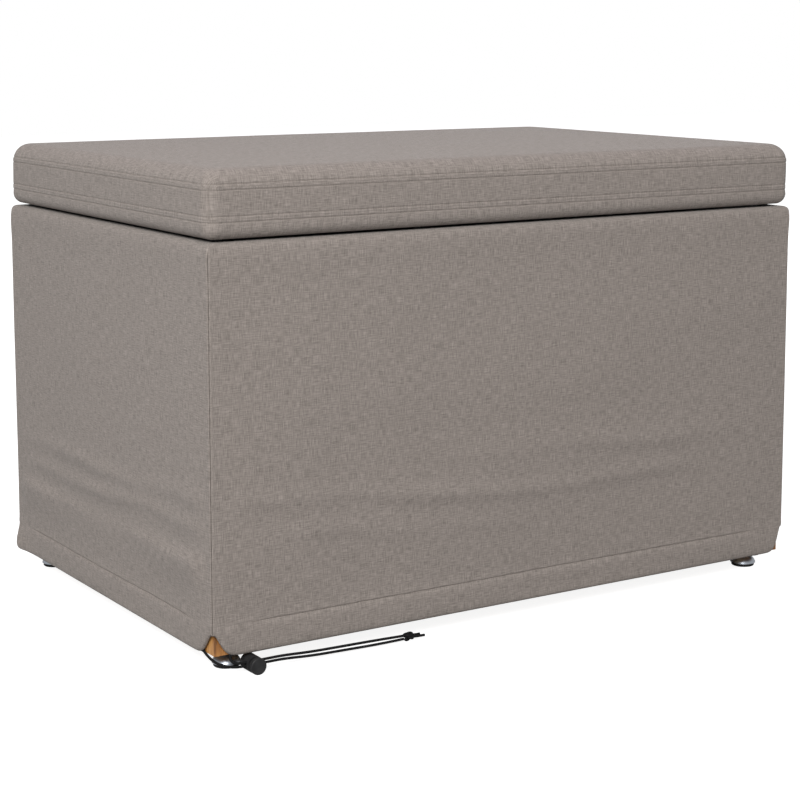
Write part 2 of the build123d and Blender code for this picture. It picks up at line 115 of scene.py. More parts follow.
class Shader:
    """A Principled material and short calls for the nodes that feed it."""

    def __init__(self, name, **sockets):
        self.material = bpy.data.materials.new(name)
        self.material.use_nodes = True
        self.tree = self.material.node_tree
        self.surface = self.tree.nodes["Principled BSDF"]
        for socket, value in sockets.items():
            self.surface.inputs[socket.replace("_", " ")].default_value = value

    def put(self, kind, inputs=(), **settings):
        """A node with its settings and its inputs, by name or number, as values or links."""
        node = self.tree.nodes.new(kind)
        for key, value in settings.items():
            setattr(node, key, value)
        for key, value in dict(inputs).items():
            if isinstance(value, bpy.types.NodeSocket):
                self.tree.links.new(value, node.inputs[key])
            else:
                node.inputs[key].default_value = value
        return node

    def place(self, scale, source="Object"):
        """Coordinates in metres times a scale on each axis."""
        coordinates = self.put("ShaderNodeTexCoord").outputs[source]
        return self.put("ShaderNodeMapping", {"Vector": coordinates, "Scale": scale}).outputs[0]

    def noise(self, vector, scale=1.0, detail=2.0, roughness=0.5, distortion=0.0):
        inputs = {"Vector": vector, "Scale": scale, "Detail": detail, "Roughness": roughness}
        return self.put("ShaderNodeTexNoise", {**inputs, "Distortion": distortion}).outputs["Fac"]

    def math(self, operation, a, b=0.5):
        return self.put("ShaderNodeMath", {0: a, 1: b}, operation=operation).outputs[0]

    def ramp(self, factor, *stops):
        """Colours between stops of (place, (r, g, b))."""
        node = self.put("ShaderNodeValToRGB", {"Fac": factor})
        elements = node.color_ramp.elements
        while len(elements) < len(stops):
            elements.new(0.5)
        for element, (place, colour) in zip(elements, stops):
            element.position, element.color = place, (*colour, 1)
        return node.outputs["Color"]

    def colour(self, socket):
        self.tree.links.new(socket, self.surface.inputs["Base Color"])

    def rough(self, factor, low, high):
        limits = {"Value": factor, "To Min": low, "To Max": high}
        self.tree.links.new(
            self.put("ShaderNodeMapRange", limits).outputs["Result"], self.surface.inputs["Roughness"]
        )

    def bump(self, height, distance, strength=1.0):
        inputs = {"Height": height, "Distance": distance, "Strength": strength}
        self.tree.links.new(self.put("ShaderNodeBump", inputs).outputs[0], self.surface.inputs["Normal"])


def linen(name, dark, light):
    """Plain-woven melange cloth: slubby threads both ways, light and dark yarns, a soft mottle."""
    cloth = Shader(name, Roughness=0.92, Sheen_Weight=0.1, Sheen_Roughness=0.5, Specular_IOR_Level=0.2)
    warp = cloth.noise(cloth.place((1250, 95, 1), "UV"), detail=1.0, roughness=0.6)
    weft = cloth.noise(cloth.place((90, 1300, 1), "UV"), detail=1.0, roughness=0.6)
    slub_warp = cloth.noise(cloth.place((760, 26, 1), "UV"), detail=1.0)
    slub_weft = cloth.noise(cloth.place((24, 790, 1), "UV"), detail=1.0)
    mottle = cloth.noise(cloth.place((34, 34, 1), "UV"), detail=3.0)
    threads = cloth.math("ADD", warp, weft)
    slubs = cloth.math("ADD", slub_warp, slub_weft)
    both = cloth.math("ADD", cloth.math("MULTIPLY", threads, 0.42), cloth.math("MULTIPLY", slubs, 0.07))
    shade = cloth.math("ADD", both, cloth.math("MULTIPLY", mottle, 0.02))
    cloth.colour(cloth.ramp(shade, (0.34, dark), (0.66, light)))
    weave = 6900.0  # radians per metre, so a pair of threads takes 0.91 mm
    split = cloth.put("ShaderNodeSeparateXYZ", {"Vector": cloth.place((1, 1, 1), "UV")})
    over = cloth.math("SINE", cloth.math("MULTIPLY", split.outputs["X"], weave))
    under = cloth.math("SINE", cloth.math("MULTIPLY", split.outputs["Y"], weave))
    plain = cloth.math("MULTIPLY", cloth.math("MULTIPLY", over, under), 0.2)
    cloth.bump(cloth.math("ADD", threads, plain), 0.0004, 0.8)
    return cloth.material


def wood(name, dark, mid, light, along, gloss, coat=0.0, figure=1.0):
    """Wood with its grain along one axis, darker pores and a slow figure."""
    kind = Shader(name, Coat_Weight=coat, Coat_Roughness=0.12)
    stretch = [150.0, 150.0, 150.0]
    stretch["XYZ".index(along)] = 9.0
    grain = kind.noise(kind.place(stretch), detail=6.0, roughness=0.62, distortion=0.6)
    slow = [value / 6 for value in stretch]
    rings = kind.noise(kind.place(slow), detail=3.0, distortion=2.2 * figure)
    pores = [value * 7 for value in stretch]
    pore = kind.noise(kind.place(pores), detail=2.0)
    mixed = kind.math("ADD", kind.math("MULTIPLY", grain, 0.45), kind.math("MULTIPLY", rings, 0.55))
    mixed = kind.math("SUBTRACT", mixed, kind.math("MULTIPLY", kind.math("GREATER_THAN", pore, 0.66), 0.08))
    kind.colour(kind.ramp(mixed, (0.34, dark), (0.5, mid), (0.66, light)))
    kind.rough(grain, gloss, gloss + 0.18)
    kind.bump(kind.math("ADD", grain, pore), 0.00025, 0.4)
    return kind.material


def metal(name, tint, rough, brushed=0.0, along="X"):
    """Bare or plated metal with fine brushing and faint handling marks."""
    kind = Shader(name, Metallic=1.0)
    stretch = [2600.0, 2600.0, 2600.0]
    stretch["XYZ".index(along)] = 60.0
    lines = kind.noise(kind.place(stretch), detail=2.0)
    marks = kind.noise(kind.place((90, 90, 90)), detail=4.0)
    low = [c * 0.86 for c in tint]
    kind.colour(kind.ramp(marks, (0.3, low), (0.7, tint)))
    kind.rough(marks, rough, rough + 0.12)
    kind.bump(lines, 0.00005, brushed)
    return kind.material


def plastic(name, tint, rough, grain=1400.0, depth=0.00006):
    """Moulded plastic or rubber with a fine spark-eroded texture."""
    kind = Shader(name, Specular_IOR_Level=0.35)
    spots = kind.noise(kind.place((grain, grain, grain)), detail=2.0)
    wear = kind.noise(kind.place((120, 120, 120)), detail=3.0)
    worn = [min(1.0, c * 1.5 + 0.006) for c in tint]
    kind.colour(kind.ramp(wear, (0.35, tint), (0.75, worn)))
    kind.rough(wear, rough, rough + 0.15)
    kind.bump(spots, depth, 0.7)
    return kind.material


def braid(name, tint):
    """Round braided cord or thread: rounded cells of yarn with lint on them; each cell is painted lighter
    on its crown and darker towards its edges, as painted highlight and painted shade.
    """
    kind = Shader(name, Roughness=0.75, Specular_IOR_Level=0.2)
    cells = {"Vector": kind.place((1, 1, 1)), "Scale": 1250.0}
    yarn = kind.put("ShaderNodeTexVoronoi", cells, feature="SMOOTH_F1").outputs["Distance"]
    lint = kind.noise(kind.place((5200, 5200, 5200)), detail=1.0)
    light = [min(1.0, c * 1.6 + 0.004) for c in tint]
    # painted highlight on each yarn cell's crown and painted shade where the cells meet
    kind.colour(kind.ramp(yarn, (0.1, light), (0.75, tint)))
    kind.bump(kind.math("SUBTRACT", lint, yarn), 0.00025, 0.8)
    return kind.material


def open_cell(name, tint, scale):
    """Foam, wadding or non-woven felt: matted pores."""
    kind = Shader(name, Roughness=0.95)
    cells = {"Vector": kind.place((1, 1, 1)), "Scale": scale}
    pores = kind.put("ShaderNodeTexVoronoi", cells).outputs["Distance"]
    patches = kind.noise(kind.place((60, 60, 60)), detail=3.0)
    kind.colour(kind.ramp(patches, (0.3, [c * 0.86 for c in tint]), (0.7, tint)))
    kind.bump(kind.math("ADD", pores, patches), 0.0004, 0.7)
    return kind.material


LINEN = linen("linen_taupe", (0.146, 0.127, 0.112), (0.326, 0.285, 0.258))
HONEY_TONES = (0.05, 0.016, 0.004), (0.38, 0.16, 0.04), (0.74, 0.42, 0.15)
PLY_TONES = (0.42, 0.26, 0.13), (0.58, 0.4, 0.23), (0.7, 0.53, 0.34)
PINE_TONES = (0.48, 0.3, 0.14), (0.66, 0.47, 0.27), (0.76, 0.6, 0.4)
HONEY = wood("honey_varnish", *HONEY_TONES, "Z", gloss=0.3, coat=0.3, figure=3.0)
PLY = {axis: wood(f"plywood_{axis}", *PLY_TONES, axis, gloss=0.4) for axis in "XYZ"}
PINE = {axis: wood(f"pine_{axis}", *PINE_TONES, axis, gloss=0.5) for axis in "XY"}
ZINC = metal("zinc_plate", (0.42, 0.42, 0.41), 0.36, 0.5)
CHROME = metal("satin_chrome", (0.6, 0.64, 0.7), 0.32, 0.06)
SPRING = metal("spring_wire", (0.5, 0.5, 0.5), 0.25, 0.3, "Y")
TRACK = plastic("track_black", (0.018, 0.018, 0.019), 0.35, 900.0)
NYLON = plastic("nylon_black", (0.022, 0.022, 0.022), 0.4)
LOCK = plastic("lock_black", (0.012, 0.012, 0.0125), 0.5, 1700.0, 0.00008)
RUBBER = plastic("foot_rubber", (0.012, 0.012, 0.012), 0.62, 800.0, 0.0001)
BUMPER = plastic("bumper_black", (0.02, 0.02, 0.021), 0.6, 900.0)
CORD = braid("cord_black", (0.003, 0.003, 0.0033))
WADDING = open_cell("wadding_white", (0.8, 0.8, 0.78), 900.0)
FOAM = open_cell("foam_cream", (0.84, 0.78, 0.6), 1300.0)
FELT_AND_GAP_SHADE = open_cell("dust_cloth_black", (0.022, 0.022, 0.023), 1600.0)
THREAD = braid("thread_taupe", (0.2, 0.17, 0.148))

finishes = {
    "honey_wood": HONEY,
    "zinc_screws": ZINC,
    "zinc_steel": ZINC,
    "black_steel": TRACK,
    "slider_nylon": NYLON,
    "foot_rubber": RUBBER,
    "foot_chrome": CHROME,
    "stem_steel": ZINC,
    "bumper_rubber": BUMPER,
    "black_cord": CORD,
    "lock_plastic": LOCK,
    "spring_steel": SPRING,
    "wadding": WADDING,
    "foam": FOAM,
    "dust_cloth": FELT_AND_GAP_SHADE,
    "linen_fabric": LINEN,
}
for subpart in frame["record"]["subparts"]:
    node, slot = subpart["node"], subpart["material_slot"]
    low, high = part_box(node)
    longest = "XYZ"[max(range(3), key=lambda axis: (high - low)[axis])]
    if slot == "plywood":
        finish = PLY[longest]
    elif slot == "rail_wood":
        finish = PINE[longest]
    else:
        finish = finishes[slot]
    mesh = nodes[node].data
    mesh.materials.clear()
    mesh.materials.append(finish)


# ---------------------------------------------------------------- cloth surfaces from rings


def stations(half_x, half_y, radius, near, step, turns):
    """Places round a rounded rectangle, as skeleton corners in -1..1 and outward normals.

    They start at the front left corner and go along the front. near holds the distances from
    a corner that need a place of their own, step the spacing elsewhere, turns the angles of a corner.
    """
    anchors, normals = [], []
    for side in range(4):
        along = half_x if side % 2 == 0 else half_y
        length = 2 * (along - radius)
        middle = np.linspace(near[-1], length - near[-1], max(2, round((length - 2 * near[-1]) / step)))
        places = np.concatenate([near[:-1], middle, length - np.array(near[:-1])[::-1]])
        heading = math.radians(90 * side)
        turn = np.array([[math.cos(heading), math.sin(heading)], [-math.sin(heading), math.cos(heading)]])
        shares = 2 * places / length - 1
        anchors.append(np.column_stack([shares, -np.ones(len(shares))]) @ turn)
        normals.append(np.tile(np.array([0, -1.0]) @ turn, (len(shares), 1)))
        bends = np.radians(np.array(turns) - 90 + 90 * side)
        anchors.append(np.tile(np.array([1.0, -1.0]) @ turn, (len(bends), 1)))
        normals.append(np.column_stack([np.cos(bends), np.sin(bends)]))
    return np.round(np.concatenate(anchors), 9), np.concatenate(normals)


def ring(places, half_x, half_y, radius, z):
    """One closed row of points; z is a number or one height for each place."""
    anchors, normals = places
    flat = anchors * (half_x - radius, half_y - radius) + radius * normals
    return np.column_stack([flat, np.broadcast_to(z, len(flat))])


def waves(points, length, seed):
    """Irregular smooth waves of about unit height and a given length through space."""
    rng = np.random.default_rng(seed)
    total = np.zeros(len(points))
    for _ in range(7):
        direction = rng.normal(size=3)
        direction /= np.linalg.norm(direction) * length * rng.uniform(0.7, 1.5)
        total += np.sin(2 * math.pi * (points @ direction) + rng.uniform(0, 2 * math.pi))
    return total / 2.4


def dent(distance, width):
    """1 on a line, falling smoothly to 0 about two widths away."""
    return np.exp(-((distance / width) ** 2))


def smooth(value, start, end):
    """0 before start, 1 after end, with a smooth step between."""
    share = np.clip((value - start) / (end - start), 0, 1)
    return share * share * (3 - 2 * share)


def cloth_mesh(name, rows, maps, cap=False):
    """Quads between closed rows, with UVs in metres; maps has each row's own (u, v) pairs."""
    count = len(rows[0])
    points = np.concatenate(rows)
    faces, uvs = [], []
    for j in range(len(rows) - 1):
        below, above = maps[j][1], maps[j + 1][0]
        for i in range(count):
            k = (i + 1) % count
            faces.append((j * count + i, j * count + k, (j + 1) * count + k, (j + 1) * count + i))
            uvs += [below[i], below[i + 1], above[i + 1], above[i]]
    if cap:
        last = (len(rows) - 1) * count
        faces.append(tuple(range(last, last + count)))
        uvs += [tuple(pair) for pair in maps[-1][0][:count]]
    mesh = bpy.data.meshes.new(name)
    mesh.from_pydata(points.tolist(), [], faces)
    layer = mesh.uv_layers.new(name="weave")
    layer.data.foreach_set("uv", np.array(uvs, np.float32).ravel())
    mesh.polygons.foreach_set("use_smooth", np.ones(len(faces), bool))
    mesh.update()
    piece = bpy.data.objects.new(name, mesh)
    bpy.context.scene.collection.objects.link(piece)
    return piece


def around(points):
    """Arc length at each place of a closed row, and once more at the end."""
    steps = np.linalg.norm(np.roll(points, -1, axis=0) - points, axis=1)
    return np.concatenate([[0], np.cumsum(steps)])


def on_line(distance, lengths, values):
    """Values of a closed line, such as its points, at a distance along it."""
    return np.array([np.interp(distance, lengths, values[:, axis]) for axis in range(3)])


# The start, middle and end of a stitch: its thickness and its height over the cloth, in thread radii.
STITCH_PROFILE = ((0.45, -0.5), (1.0, 0.55), (0.45, -0.5))


def stitches(name, lines, outward, pitch, length, radius):
    """Short rounded stitches of thread along closed lines of surface points, as one mesh.

    There are none where a line's outward normal is zero.
    """
    sides = 6
    angles = np.linspace(0, 2 * math.pi, sides, endpoint=False)
    points, faces = [], []
    for line, normals in zip(lines, outward):
        lengths = around(line)
        closed, closed_normals = np.vstack([line, line[:1]]), np.vstack([normals, normals[:1]])
        for start in np.arange(round(lengths[-1] / pitch)) * pitch:
            middle, end = start + length / 2, start + length
            centres = [on_line(distance, lengths, closed) for distance in (start, middle, end)]
            across = on_line(middle, lengths, closed_normals)
            if not across.any():
                continue
            forward = centres[2] - centres[0]
            forward /= np.linalg.norm(forward)
            across /= np.linalg.norm(across)
            side = np.cross(forward, across)
            base = len(points)
            for centre, (thickness, lift) in zip(centres, STITCH_PROFILE):
                raised = centre + across * radius * lift
                for angle in angles:
                    spoke = math.cos(angle) * side + math.sin(angle) * across
                    points.append(raised + radius * thickness * spoke)
            for a in (base, base + sides):
                for i in range(sides):
                    k = (i + 1) % sides
                    faces.append((a + i, a + k, a + sides + k, a + sides + i))
            faces.append(tuple(base + i for i in reversed(range(sides))))
            faces.append(tuple(base + 2 * sides + i for i in range(sides)))
    mesh = bpy.data.meshes.new(name)
    mesh.from_pydata([tuple(p) for p in points], [], faces)
    mesh.polygons.foreach_set("use_smooth", np.ones(len(faces), bool))
    mesh.materials.append(THREAD)
    piece = bpy.data.objects.new(name, mesh)
    bpy.context.scene.collection.objects.link(piece)
    return piece


# ---------------------------------------------------------------- slipcover

cover_low, cover_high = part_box("slipcover")
HALF_X, HALF_Y = cover_high.x, cover_high.y
HEM_EDGE, RIM = cover_low.z, cover_high.z
HEM_DEEP, RIM_ROUND, RETURN = 32 * MM, 7 * MM, 34 * MM
CORNER_R = 3 * MM
SEAM_TURNS = (0, 12, 24, 33, 38, 41, 43, 44.2, 45, 45.8, 47, 49, 52, 57, 66, 78, 90)
near_corner = [0.3, 1.5, 3, 4.5, 6, 8, 10, 12, 14, 16, 18, 20, 22, 24, 27, 31, 36, 42, 48]
places = stations(HALF_X, HALF_Y, CORNER_R, [d * MM for d in near_corner], 6.5 * MM, SEAM_TURNS)
base_ring = ring(places, HALF_X, HALF_Y, CORNER_R, 0)
on_left = base_ring[:, 0] < -HALF_X + CORNER_R
on_long = np.abs(places[1][:, 1]) > np.abs(places[1][:, 0])
from_corner = np.where(on_long, HALF_X - np.abs(base_ring[:, 0]), HALF_Y - np.abs(base_ring[:, 1]))
in_seam = np.abs(np.abs(places[1][:, 0]) - np.abs(places[1][:, 1])) * CORNER_R

# A V is cut up from the hem at each corner. Its height is the same on both panels, and each
# panel's edge runs down on its own curve: (height, reach, power), from the corner along the panel.
corner_left, corner_front = base_ring[:, 0] < 0, base_ring[:, 1] < 0
hem_line = np.full(len(base_ring), HEM_EDGE)
edge_from = np.maximum(from_corner - CORNER_R, 0)
for left, front, along, high, reach, power in (
    (True, True, True, 24, 9.9, 1.55),
    (True, True, False, 24, 15.5, 1.9),
    (False, True, True, 30.5, 6.6, 1.6),
    (False, True, False, 30.5, 9.0, 1.6),
    (False, False, True, 25, 9.0, 1.6),
    (False, False, False, 25, 9.5, 1.6),
    (True, False, True, 29, 10.0, 1.6),
    (True, False, False, 29, 2.6, 1.05),
):
    here = (corner_left == left) & (corner_front == front) & (on_long == along)
    cut = high * MM * np.exp(-((edge_from / (reach * MM)) ** power))
    hem_line = np.where(here, HEM_EDGE + cut, hem_line)
notch_share = (hem_line - HEM_EDGE) / (30.5 * MM)
seam_z = HEM_EDGE + HEM_DEEP
up_to = seam_z - 0.5 * MM

# How far the cloth stands out or in at each of its features
CORD_BULGE, HEM_ROLL, HEM_GROOVE, PUCKER = 1.5 * MM, 0.5 * MM, 1.2 * MM, 0.22 * MM
NECK_BULGE, CORNER_GROOVE, FLARE = 0.7 * MM, 1.9 * MM, 6.0 * MM



# Folds: panel, the ridge's (place along the panel, height) points, rise, and width below and above.
FOLDS = (
    ("short", ((-330, 112), (-180, 109), (254, 100), (330, 98)), 4.4, 24, 8),
    ("short", ((-300, 148), (-188, 147), (-69, 141), (80, 135), (240, 133)), 2.4, 8, 8),
    ("short", ((-330, 178), (-188, 175), (-69, 167), (80, 166), (290, 160)), 2.5, 9, 9),
    ("long", ((-330, 141), (-220, 137), (-159, 121), (-96, 115), (20, 108)), 1.7, 8, 9),
    ("long", ((-390, 170), (-220, 170), (-159, 158), (-31, 148), (104, 143), (260, 141)), 2.0, 8, 10),
    ("long", ((-110, 194), (35, 189), (104, 185), (175, 179), (249, 180), (390, 176)), 1.8, 10, 12),
    ("long", ((-420, 268), (-96, 266), (190, 258)), 1.6, 26, 50),
    ("long", ((-60, 330), (120, 322), (400, 318)), 0.9, 24, 30),
)
panel_places = {
    "short": (~on_long, np.where(base_ring[:, 0] < 0, base_ring[:, 1], -0.8 * base_ring[:, 1])),
    "long": (on_long, np.where(base_ring[:, 1] < 0, base_ring[:, 0], -0.9 * base_ring[:, 0])),
}


def cover_drift(row):
    """How far the sleeve's cloth stands out from its box, in metres."""
    z = row[:, 2]
    above_hem = z - hem_line
    free = smooth(z, HEM_EDGE, HEM_EDGE + 12 * MM) * (1 - smooth(z, RIM - 30 * MM, RIM - 4 * MM))
    away = smooth(from_corner, 2 * MM, 60 * MM)
    broad = 0.7 * MM * waves(row, 0.31, 3) + 0.35 * MM * waves(row, 0.12, 5)
    drift = broad * free * (0.25 + 0.75 * away)
    # the cord in the hem, its fold, and the stitch line that closes it
    drift += CORD_BULGE * (1 - smooth(z, 40 * MM, 60 * MM)) * smooth(above_hem, -MM, 9 * MM)
    drift += HEM_ROLL * dent(above_hem - 3.4 * MM, 3.4 * MM) * (1 - notch_share)
    stitched = smooth(from_corner, 42 * MM, 66 * MM)
    drift -= HEM_GROOVE * dent(z - seam_z, 0.8 * MM) * (0.1 + 0.9 * stitched)
    pucker = waves(row * (1, 1, 0.25), 0.017, 11)
    drift += PUCKER * pucker * dent(z - seam_z, 9 * MM) * stitched
    # soft folds that the drawcord pulls into the panels
    for panel, line, height, below, above in FOLDS:
        on_panel, along = panel_places[panel]
        stations_at, heights = zip(*line)
        middle = np.interp(along, np.array(stations_at) * MM, np.array(heights) * MM)
        middle += 2.5 * MM * waves(row * (1, 1, 0), 0.16, int(heights[0]) + 7)
        ends = smooth(along, stations_at[0] * MM, (stations_at[0] + 70) * MM)
        ends = ends * smooth(-along, -stations_at[-1] * MM, (70 - stations_at[-1]) * MM)
        width = np.where(z < middle, below, above) * MM
        vary = 0.8 + 0.35 * waves(row * (1, 1, 0), 0.23, int(heights[0]))
        ends = ends * smooth(from_corner, 4 * MM, 38 * MM)
        drift += height * MM * dent(z - middle, width) * on_panel * ends * vary
    # the fullness under the rim
    under_rim = smooth(z, RIM - 45 * MM, RIM - 16 * MM) * (1 - smooth(z, RIM - 14 * MM, RIM - 4 * MM))
    drift += NECK_BULGE * under_rim
    # the vertical corner seams
    drift -= CORNER_GROOVE * dent(in_seam, 0.42 * MM) * smooth(z, hem_line, hem_line + 2 * MM)
    # the hem's end stands away from the back left corner
    flare = smooth(z, 50 * MM, 24 * MM) * dent(from_corner, 30 * MM)
    drift += FLARE * flare * (on_left & ~corner_front)
    return drift


cover_rows, cover_maps = [], []
arc = around(base_ring)


def add_cover_row(inset, z, v, drift=1.0):
    """A row of the slipcover, inset from its box, with the cloth's own drift on top."""
    inset = np.broadcast_to(inset, len(base_ring))
    anchors, out = places
    row = ring(places, HALF_X, HALF_Y, CORNER_R, z)
    moved = -inset + (cover_drift(row) * drift if drift else 0)
    tight = np.maximum(CORNER_R - inset, 0.6 * MM)
    row[:, :2] = anchors * np.column_stack([HALF_X - inset - tight, HALF_Y - inset - tight])
    row[:, :2] += tight[:, None] * out + (moved + inset)[:, None] * out
    v = np.broadcast_to(v, len(base_ring))
    pairs = np.column_stack([arc, np.append(v, v[0])])
    cover_rows.append(row)
    cover_maps.append((pairs, pairs))


# The hem's inner face and its fold round the cord, from the top: (inset, height over the edge)
HEM_SECTION = (
    *((1.7, 30), (1.8, 15), (2.4, 8.5), (3.3, 5.8), (4.2, 3.6)),
    *((4.4, 2.0), (3.9, 0.8), (2.9, 0.1), (1.8, 0.1), (0.8, 0.7)),
)
fold = 1 - 0.5 * notch_share
for inset, lift in HEM_SECTION:
    height = np.minimum(hem_line + lift * MM * fold, np.maximum(seam_z, hem_line + lift * MM * 0.4))
    add_cover_row(inset * MM * fold, height, hem_line - (lift + 2) * MM, 0.6)
for share in (0, 0.05, 0.11, 0.18, 0.27, 0.38, 0.5, 0.63, 0.76, 0.88, 1):
    start = hem_line + 2 * MM * fold
    height = start + (up_to - start) * share
    add_cover_row(0.0, height, height)
side_rows = [50.6, 50.8, 51, 51.3, 51.7, 52.2, 52.8, 53.6, 54.6, 56, 58, 60.5]
side_rows += list(np.arange(63.5, 206, 3.0)) + list(np.arange(208, 426, 5.0))
stitched_row = len(cover_rows) + side_rows.index(round(seam_z / MM))
for height in side_rows:
    add_cover_row(0.0, height * MM, height * MM)
for angle in range(0, 91, 15):
    turn = math.radians(angle)
    inset, z = RIM_ROUND * (1 - math.cos(turn)), RIM - RIM_ROUND * (1 - math.sin(turn))
    add_cover_row(inset, z, RIM - RIM_ROUND + RIM_ROUND * turn, 0.0)
# Over the rim come cloth, then a black band with its edge turned under, which is painted shade for the gap
# under the lid: (inset, drop).
GAP_SHADE_ROWS = 5
RIM_SECTION = (
    *((11 * MM, 0), (14 * MM, 0), (24 * MM, 0)),
    *((RETURN, 0), (RETURN + 0.6 * MM, 0.6 * MM), (RETURN, 1.4 * MM)),
)
for inset, drop in RIM_SECTION:
    add_cover_row(inset, RIM - drop, RIM + inset, 0.0)

cover = cloth_mesh("slipcover_cloth", cover_rows, cover_maps)
cover.data.materials.append(LINEN)
# the black felt over the rim's return is a dark sheet that stands in for the shade in the gap under the lid
cover.data.materials.append(FELT_AND_GAP_SHADE)
count = len(base_ring)
for face in cover.data.polygons[(len(cover_rows) - GAP_SHADE_ROWS) * count :]:
    face.material_index = 1
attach(cover, "base")
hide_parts("slipcover")

hem_row = cover_rows[stitched_row]
hem_out = np.column_stack([places[1], np.zeros(len(hem_row))])
hem_out[from_corner < 50 * MM] = 0
hem_thread = stitches("hem_stitching", [hem_row], [hem_out], 3.4 * MM, 2.5 * MM, 0.27 * MM)
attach(hem_thread, "base")


# ---------------------------------------------------------------- lid cushion


lid_low, lid_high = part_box("lid_cover")
LID_X, LID_Y, LID_FLOOR, LID_TOP = lid_high.x, lid_high.y, lid_low.z, lid_high.z
PLAN_R, BOTTOM_R = 14 * MM, 12 * MM
SHOULDER, SHOULDER_IN, CROWN = 20 * MM, 17 * MM, 2.2 * MM
SHOULDER_Z = LID_TOP - CROWN - SHOULDER
BAND_SWELL, SEAM_ROLL, SEAM_GROOVE = 0.2 * MM, 0.28 * MM, 0.22 * MM
STITCH_GROOVE, CORNER_SEAM = 0.7 * MM, 1.0 * MM
LOW_SEAM, HIGH_SEAM, STITCH_GAP = 456 * MM, 487.5 * MM, 3 * MM

corner_turns = (0, 9, 18, 27, 35, 40, 42.5, 44, 45, 46, 47.5, 50, 55, 63, 72, 81, 90)
lid_near = [2, 6, 10, 15, 20, 26, 32, 38]
lid_places = stations(LID_X, LID_Y, PLAN_R, [d * MM for d in lid_near], 5.5 * MM, corner_turns)
lid_out = np.column_stack([lid_places[1], np.zeros(len(lid_places[1]))])
lid_seam = np.abs(np.abs(lid_out[:, 0]) - np.abs(lid_out[:, 1])) * PLAN_R / math.sqrt(2)
lid_on_corner = np.abs(lid_out[:, 0] * lid_out[:, 1]) > 1e-6


def lid_drift(row):
    """Swell and seams of the cushion's side, in metres outward."""
    z = row[:, 2]
    side_share = np.clip((z - LOW_SEAM) / (HIGH_SEAM - LOW_SEAM), 0, 1)
    drift = BAND_SWELL * np.sin(math.pi * side_share) + 0.35 * MM * waves(row, 0.19, 21)
    for seam in (LOW_SEAM, HIGH_SEAM):
        drift += SEAM_ROLL * dent(z - seam, 2.0 * MM) - SEAM_GROOVE * dent(z - seam, 0.4 * MM)
        for stitch in (seam - STITCH_GAP, seam + STITCH_GAP):
            drift -= STITCH_GROOVE * dent(z - stitch, 0.48 * MM)
        drift += 0.2 * MM * waves(row * (1, 1, 0.3), 0.013, 31) * dent(z - seam, 8 * MM)
    band = smooth(z, LOW_SEAM, LOW_SEAM + MM) * (1 - smooth(z, HIGH_SEAM - MM, HIGH_SEAM))
    drift -= CORNER_SEAM * dent(lid_seam, 0.6 * MM) * band * lid_on_corner
    return drift


def lid_crown(row):
    """How far the top stands above its shoulder line."""
    shares = np.abs(row[:, :2] / (LID_X - 12 * MM, LID_Y - 12 * MM)) ** 2.6
    across = (1 - shares[:, 0]) * (1 - shares[:, 1])
    uneven = 0.35 * MM * waves(row, 0.16, 41) * np.clip(across * 3, 0, 1)
    return CROWN * np.clip(across, 0, 1) ** 0.75 + uneven


lid_rows, lid_maps = [], []
band_arc = around(ring(lid_places, LID_X, LID_Y, PLAN_R, 0))


def add_lid_row(row, below, above=None):
    lid_rows.append(row)
    lid_maps.append((below, below if above is None else above))


def round_map(v):
    """UVs along the band: distance round the lid, and height."""
    return np.column_stack([band_arc, np.full(len(band_arc), v)])


def corner_radius(inset):
    """The lid's corner radius in plan, which falls as the shoulder goes in."""
    return PLAN_R + MM - 7 * MM * inset / SHOULDER_IN


def flat_map(row, turn):
    """UVs of the top panel laid flat: a row of its shoulder, moved out by the length it gains."""
    gained = SHOULDER_IN * (math.pi / 2 - turn - math.cos(turn))
    pairs = row[:, :2] + lid_out[:, :2] * gained
    return np.vstack([pairs, pairs[:1]])


# The cover's border under the lid, from its inner edge: (inset in X, inset in Y, height)
BORDER = (
    *((31, 51, 437.4), (30, 50, 436.2), (29, 48, 436)),
    *((24, 38, 436), (18, 26, 436), (13.5, 15, 436)),
)
for inset_x, inset_y, z in BORDER:
    radius = max(PLAN_R - inset_x * MM, 3 * MM)
    row = ring(lid_places, LID_X - inset_x * MM, LID_Y - inset_y * MM, radius, z * MM)
    add_lid_row(row, round_map(LID_FLOOR - BOTTOM_R - inset_x * MM))
for angle in range(-80, 1, 10):
    turn = math.radians(angle)
    inset = BOTTOM_R * (1 - math.cos(turn))
    z = LID_FLOOR + BOTTOM_R * (1 + math.sin(turn))
    row = ring(lid_places, LID_X - inset, LID_Y - inset, PLAN_R - inset, z)
    row += lid_out * (0.35 * MM * waves(row, 0.19, 21) * math.cos(turn))[:, None]
    add_lid_row(row, round_map(LID_FLOOR + BOTTOM_R + BOTTOM_R * turn))


def rows_between(low, high):
    """Heights of the band's rows: close together over the seams, wider elsewhere."""
    fine = [-5, -4, -3.4, -3, -2.6, -2, -1.4, -0.9, -0.5, -0.2, 0, 0.2, 0.5, 0.9, 1.4, 2, 2.6, 3, 3.4, 4, 5]
    heights = {round(seam / MM + offset, 2) for seam in (low, high) for offset in fine}
    heights |= {464.0, 467.5, 471.0, 474.5, 478.0}
    return sorted(heights)


